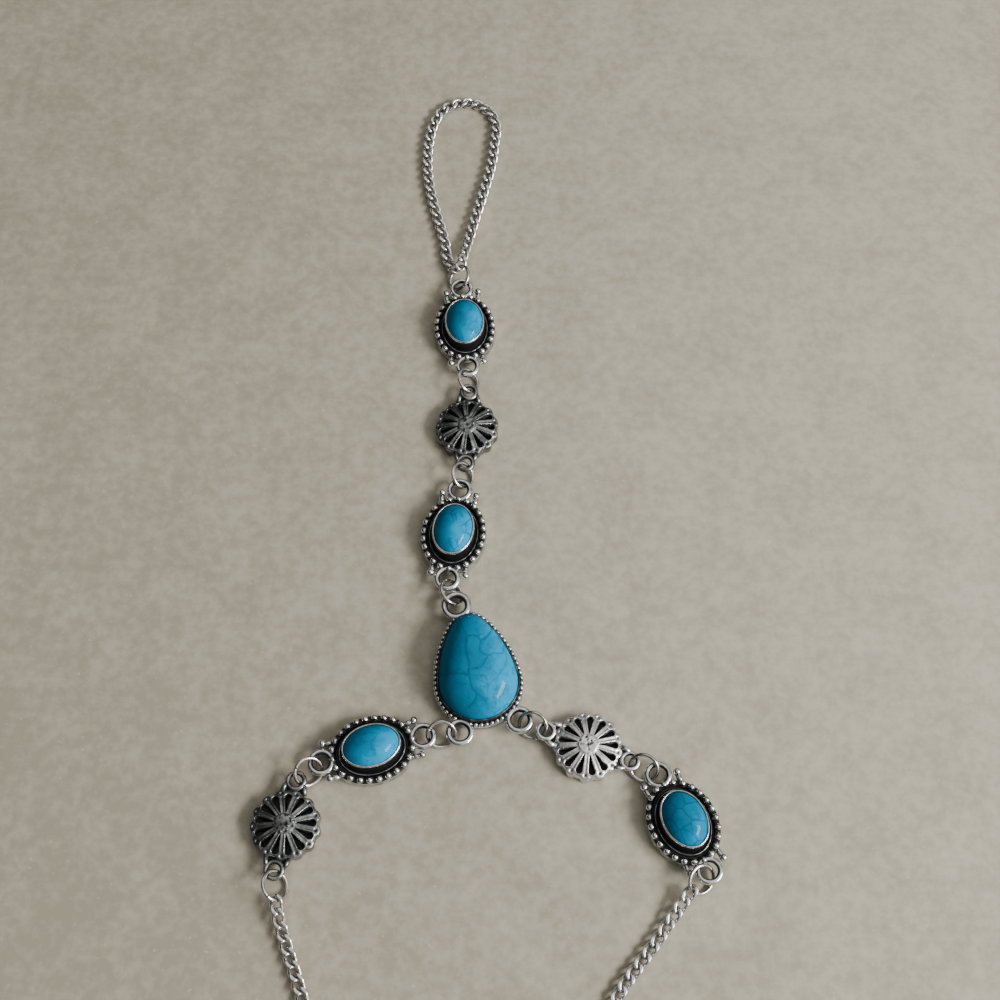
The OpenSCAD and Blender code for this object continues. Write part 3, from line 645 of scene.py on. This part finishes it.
def daisy_relief(r, a):
    """Height and oxide of a daisy's face at a radius and angle."""
    bowl = (DAISY_RADIUS ** 2 + DAISY_RISE ** 2) / (2 * DAISY_RISE)
    z = FRAME + DAISY_RISE - bowl + np.sqrt(bowl ** 2 - r ** 2)
    off = (a + SECTOR / 2) % SECTOR - SECTOR / 2
    x, y = r * np.cos(off), np.abs(r * np.sin(off))
    # Distance from the nearest hollow, which widens outwards and has round ends
    near, far, tip = HOLLOW_NEAR, HOLLOW_FAR, HOLLOW_TIP
    half = far * math.sin(SECTOR / 2) - RIB_WIDTH / 2 - 0.04
    slope = (half - tip) / (far - near)
    side = (y - tip - slope * (x - near)) / math.hypot(1, slope)
    ends = np.where(x > far, np.hypot(x - far, y) - half, np.hypot(x - near, y) - tip)
    outside = np.where((x > far) | (x < near), ends, side)
    sunk = smooth(-outside, -0.03, 0.06)
    z = z - 0.03 * smooth(-outside, -0.10, 0.0)
    oxide = np.clip(sunk * 1.1, 0, 1)
    rib = (a % SECTOR) - SECTOR / 2
    dent = np.hypot(r * np.cos(rib) - DENT_AT, r * np.sin(rib))
    z = z - DENT_DEPTH * hump(dent, DENT_WIDTH)
    oxide = np.maximum(oxide, 0.85 * hump(dent, DENT_WIDTH + 0.01))
    seam = np.abs(r * np.sin(rib))
    z = z - SEAM_DEPTH * hump(seam, SEAM_WIDTH) * smooth(r, 1.1, 1.5) * (1 - smooth(r, 3.3, 3.7))
    oxide = np.maximum(oxide, 0.30 * hump(seam, SEAM_WIDTH + 0.01) * smooth(r, 1.2, 1.5))
    z = np.where(sunk > 0, z * (1 - sunk) + HOLLOW_FLOOR * sunk, z)
    groove = GROOVE_DEPTH * hump(r - GROOVE_AT, GROOVE_WIDTH) * smooth(np.abs(rib), 0.10, 0.2)
    return z - groove, np.maximum(oxide, groove * 6)


def daisy_rows(a):
    """A daisy's edge at angles round it, and the radii of its rows: even, and closer near the edge."""
    rib = (a % SECTOR) - SECTOR / 2
    hub = DAISY_RADIUS - SCALLOP_RADIUS
    lobe = np.sqrt(np.maximum(SCALLOP_RADIUS ** 2 - (hub * np.sin(rib)) ** 2, 0)) + hub * np.cos(rib)
    edge = np.maximum(lobe, DAISY_RADIUS - 0.28) - 0.03
    u = np.linspace(0, 1, 74)[1:]
    face, share = 3.7, 0.88
    plain = face * u / share
    rim = face + (edge[None] - face) * ((u - share) / (1 - share))[:, None]
    return edge, np.where((u < share)[:, None], plain[:, None], rim)


def daisy(name, number, middle, heading):
    # Painted light: daisy 3 takes the pale copy of the silver and less black on its boss; the others take the
    # dark copy
    wear_and_painted_light = number == 3  # the bright one of the photo
    s = Shape()
    n = DAISY_RIBS * 34
    a = angles(n)
    edge, r = daisy_rows(a)
    z, oxide = daisy_relief(r, np.broadcast_to(a, r.shape))
    lumps = np.zeros_like(z)
    for _ in range(BOSS_LUMPS):
        q, t, w = BOSS_SPREAD * math.sqrt(rng.uniform()), rng.uniform(0, 6.28), rng.uniform(0.10, 0.2)
        away = np.hypot(r * np.cos(a) - q * math.cos(t), r * np.sin(a) - q * math.sin(t))
        lumps += rng.uniform(-0.09, 0.11) * hump(away, w)
    boss = 1 - smooth(r, 1.05, 1.32)
    z = z + boss * 0.05 + lumps * (1 - smooth(r, 1.15, 1.5)) - 0.12 * hump(r, 0.28)
    dull = 0.05 if wear_and_painted_light else 0.42
    oxide = np.maximum(oxide, np.clip(dull - lumps * 9, 0, 0.8) * (1 - smooth(r, 1.15, 1.4)))
    oxide = np.maximum(oxide, 0.8 * hump(r, 0.25))
    z[-1] -= 0.05
    face = np.stack([r * np.cos(a), r * np.sin(a), z], -1)
    # Rows down the side: outward growth, height, oxide
    wall = [(0.03, z[-1] - 0.12, 0.15), (0.03, np.full(n, 1.0), 0.25), (0.03, np.full(n, 0.4), 0.2),
            (-0.02, np.full(n, 0.08), 0.2), (-0.12, np.full(n, 0.0), 0.3)]
    below = np.stack([np.stack([(edge + g) * np.cos(a), (edge + g) * np.sin(a), h], -1) for g, h, _ in wall])
    shade = np.concatenate([oxide.reshape(-1)] + [np.full(n, o) for _, _, o in wall])
    s.rows(np.concatenate([face, below]), shade, caps=True)
    for side in (-1, 1):
        eye(s, (0, side * DAISY_REACH), DAISY_EYE_RADIUS, DAISY_EYE_WIRE + 0.06)
        for hand in (-1, 1):
            leg = np.array([
                [hand * 1.42, side * (DAISY_RADIUS - 0.45), EYE_HEIGHT - 0.05],
                [hand * 1.28, side * (DAISY_RADIUS + 0.25), EYE_HEIGHT - 0.02],
                [hand * 1.06, side * (DAISY_REACH - 0.35), EYE_HEIGHT]])
            s.tube(leg, np.array([0.34, 0.32, 0.27]), 12, closed=False)
        web = np.array([
            [-1.3, DAISY_RADIUS - 0.5], [1.3, DAISY_RADIUS - 0.5], [1.0, DAISY_REACH - 0.8],
            [0.75, DAISY_REACH - 0.98], [0.0, DAISY_REACH - 1.15], [-0.75, DAISY_REACH - 0.98],
            [-1.0, DAISY_REACH - 0.8]]) * [1, side]
        s.rows(np.stack([level(web, 0.9), level(web, EYE_HEIGHT - 0.05)]), [0.9, 0.9], caps=True)
    s.moved(middle, heading)
    return s.piece(name, CONCHO_PAINTED_LIT if wear_and_painted_light else CONCHO, [f"daisy_{number}"])


# Jump rings
def jump_ring(number, middle, heading, side):
    s = Shape()
    n = 110
    half_cut = 0.025
    a = np.linspace(half_cut, 2 * math.pi - half_cut, n) + rng.uniform(0.6, 1.2)
    spread = 0.03 * (np.linspace(-1, 1, n) ** 9)
    lean = math.radians(side * RING_LEAN)
    flat = np.stack([RING_RADIUS * np.cos(a), RING_RADIUS * np.sin(a), spread], -1)
    turn = np.array([[math.cos(lean), 0, -math.sin(lean)], [0, 1, 0], [math.sin(lean), 0, math.cos(lean)]])
    # Painted shade: the ring's underside is marked black
    s.tube(flat @ turn, RING_WIRE / 2, 16, closed=False, up=UP @ turn, below=0.85)
    s.moved(middle, heading, EYE_HEIGHT)
    return s.piece(f"ring_{number}", WIRE, [f"jump_ring_{number}"])


# Curb chain
def curve(p, per=24):
    """A smooth curve through points."""
    p = np.asarray(p, float)
    n = len(p) - 1
    out = []
    for i in range(n):
        a = p[i - 1] if i else 2 * p[0] - p[1]
        b, c = p[i], p[i + 1]
        d = p[i + 2] if i + 2 <= n else 2 * p[n] - p[n - 1]
        square, cube = 2 * a - 5 * b + 4 * c - d, 3 * b - a - 3 * c + d
        for t in np.arange(per) / per:
            out.append(0.5 * (2 * b + (c - a) * t + square * t ** 2 + cube * t ** 3))
    return np.array(out + [p[n]])


def carried(route, start, end):
    """The route with its ends carried to two points on rings."""
    p = np.array(route, float)
    n = len(p) - 1
    t = np.arange(n + 1)
    p[:, 2] += CHAIN_HEIGHT
    first, last = start - p[0], end - p[n]
    near = 3  # points over which the change of height at an end fades
    p[:, 2] += np.maximum(1 - t / near, 0) * first[2] + np.maximum(1 - (n - t) / near, 0) * last[2]
    p[:, :2] += (1 - t / n)[:, None] * first[:2] + (t / n)[:, None] * last[:2]
    return p


def chain(name, node, route, start, end):
    """Links along a route, of round wire that is flattened on top and below."""
    s = Shape()
    p = curve(carried(route, start, end))
    run = np.r_[0, np.cumsum(np.linalg.norm(np.diff(p, axis=0), axis=1))]
    whole = run[-1]

    def at(t):
        return np.array([np.interp(np.clip(t, 0, whole), run, p[:, k]) for k in range(3)])

    count = int((whole - 2 * HOOK) / LINK_PITCH) + 1
    gap = (whole - 2 * HOOK) / (count - 1)
    q = angles(44)
    reach, flat_height, flat_share = 0.4, 0.40, 0.85
    for i in range(count):
        t = HOOK + i * gap
        along = unit(at(t + reach) - at(t - reach))
        aside = unit(np.cross(UP, along))
        over = np.cross(along, aside)
        path = (LINK_HALF_LENGTH * np.cos(q)[:, None] * along + LINK_HALF_WIDTH * np.sin(q)[:, None] * aside
                - LINK_RISE * np.sin(2 * q)[:, None] * over)
        link = Shape()
        link.tube(path, LINK_WIRE / 2 + 0.06, 12, up=over)
        v = link.points[0]
        h = v @ over
        v += (np.clip(h, -flat_height, flat_height) - h)[:, None] * over * flat_share
        s.add(v + at(t), link.faces)
    return s.piece(name, LINKS, [node])


def clasp():
    s = Shape()
    for centre, radius, wire in ((CLASP, CLASP_RADIUS, CLASP_WIRE), (TAIL, TAIL_RADIUS, TAIL_WIRE)):
        # Painted shade: the undersides of both rounds are marked black
        s.tube(circle(centre, radius, 96), wire / 2, 20, below=0.7)
    s.ball((CLASP[0] + CLASP_RADIUS, CLASP[1], EYE_HEIGHT), EYE_HEIGHT, 36, 22)
    return s.piece("clasp_silver", WIRE, ["clasp"])


ovals = [finger_pieces[2], finger_pieces[0], left_pieces[0], right_pieces[1]]
daisies = [finger_pieces[1], left_pieces[1], right_pieces[0]]
for i, (middle, heading) in enumerate(ovals, 1):
    oval_setting(f"oval_silver_{i}", i, middle, heading)
    oval_stone(f"oval_turquoise_{i}", i, middle, heading)
for i, (middle, heading) in enumerate(daisies, 1):
    daisy(f"daisy_silver_{i}", i, middle, heading)
pear_setting()
pear_stone()
rings = [end_ring("finger"), *finger_rings[::-1], *left_rings, end_ring("left"), *right_rings,
         end_ring("right"), end_ring("clasp"), end_ring("tail")]
for i, ring in enumerate(rings, 1):
    jump_ring(i, *ring)
chain("finger_links", "finger_chain", FINGER_ROUTE, hook_point("finger", -STRAND_TURN),
      hook_point("finger", STRAND_TURN))
chain("left_links", "wrist_chain_left", LEFT_ROUTE, hook_point("left"), hook_point("clasp"))
chain("right_links", "wrist_chain_right", RIGHT_ROUTE, hook_point("right"), hook_point("tail"))
clasp()


# Floor, light, room and camera, in metres
def floor():
    m, n = material("pale floor")
    at = n.place("Object")
    soft = n.noise(at, 130.0, detail=4.0)
    fine = n.noise(at, 620.0, detail=4.0, rough=0.6)
    share = n.plus(n.times(n.span(soft, 0.3, 0.7), 0.4), n.times(n.span(fine, 0.3, 0.7), 0.6))
    place = n.new("ShaderNodeSeparateXYZ", {"Vector": at}).outputs
    # Painted light: the floor is painted darker to the left and towards the front, as light falling off
    across = n.plus(n.span(place["X"], -0.06, 0.06, -0.22, 0.22), n.span(place["Y"], -0.06, 0.03, -0.2, 0.0))
    colour = n.mix(n.plus(share, across), (0.300, 0.270, 0.205, 1), (0.440, 0.406, 0.321, 1))
    fleck = n.times(n.span(n.noise(at, 1300.0, detail=2.0), 0.66, 0.74), 0.35)
    colour = n.mix(fleck, colour, (0.56, 0.53, 0.44, 1))
    bump = n.new("ShaderNodeBump", {"Strength": 0.15, "Distance": 0.0001, "Height": fine})
    n.finish(n.new("ShaderNodeBsdfPrincipled", {
        "Base Color": colour, "Roughness": 0.75, "Normal": bump.outputs[0]}))
    mesh = bpy.data.meshes.new("floor")
    half = 1.5
    corners = [(-half, -half, 0), (half, -half, 0), (half, half, 0), (-half, half, 0)]
    mesh.from_pydata(corners, [], [(0, 1, 2, 3)])
    obj = bpy.data.objects.new("floor", mesh)
    obj.location.z = -0.00005
    mesh.materials.append(m)
    bpy.context.scene.collection.objects.link(obj)


def window(at, look, size, power, colour):
    """The one soft light, as a rectangle at a place that looks at a point."""
    lamp = bpy.data.lights.new("window", "AREA")
    lamp.shape = "RECTANGLE"
    lamp.size, lamp.size_y = size
    lamp.energy = power
    lamp.color = colour
    obj = bpy.data.objects.new("window", lamp)
    obj.location = at
    obj.rotation_euler = (Vector(look) - Vector(at)).to_track_quat("-Z", "Y").to_euler()
    bpy.context.scene.collection.objects.link(obj)


def room():
    """A room that is brighter towards the window and above, for the silver to mirror."""
    world = bpy.data.worlds.new("studio")
    bpy.context.scene.world = world
    world.use_nodes = True
    world.node_tree.nodes.clear()
    n = Nodes(world.node_tree)
    way = n.place("Generated")

    def towards(direction):
        return n.new("ShaderNodeVectorMath", {0: way, 1: direction}, operation="DOT_PRODUCT").outputs["Value"]

    side, above = towards((0.74, -0.20, 0.64)), towards((0.10, 0.38, 0.92))
    glow = n.plus(n.span(side, -0.1, 1.0, 0.05, 0.70), n.span(side, 0.80, 0.98, 0.0, 0.9))
    glow = n.plus(glow, n.span(above, 0.80, 0.95, 0.0, 0.55))
    glow = n.times(glow, n.span(n.noise(way, 3.2, detail=2.0), 0.36, 0.60, 0.40, 1.25))
    back = n.new("ShaderNodeBackground", {"Color": (0.96, 0.95, 0.91, 1), "Strength": glow})
    n.new("ShaderNodeOutputWorld", {"Surface": back.outputs[0]})


floor()
window((0.40, -0.15, 0.31), (0.0, 0.015, 0.0), (0.30, 0.12), 4.3, (1.0, 0.98, 0.95))
room()

lens = bpy.data.cameras.new("camera")
lens.sensor_width, lens.lens = 36, 54
lens.clip_start = 0.01
camera = bpy.data.objects.new("camera", lens)
camera.location = (0.00273, -0.06189, 0.18299)
camera.rotation_euler = (math.radians(25.8), 0, 0)
bpy.context.scene.collection.objects.link(camera)
bpy.context.scene.camera = camera
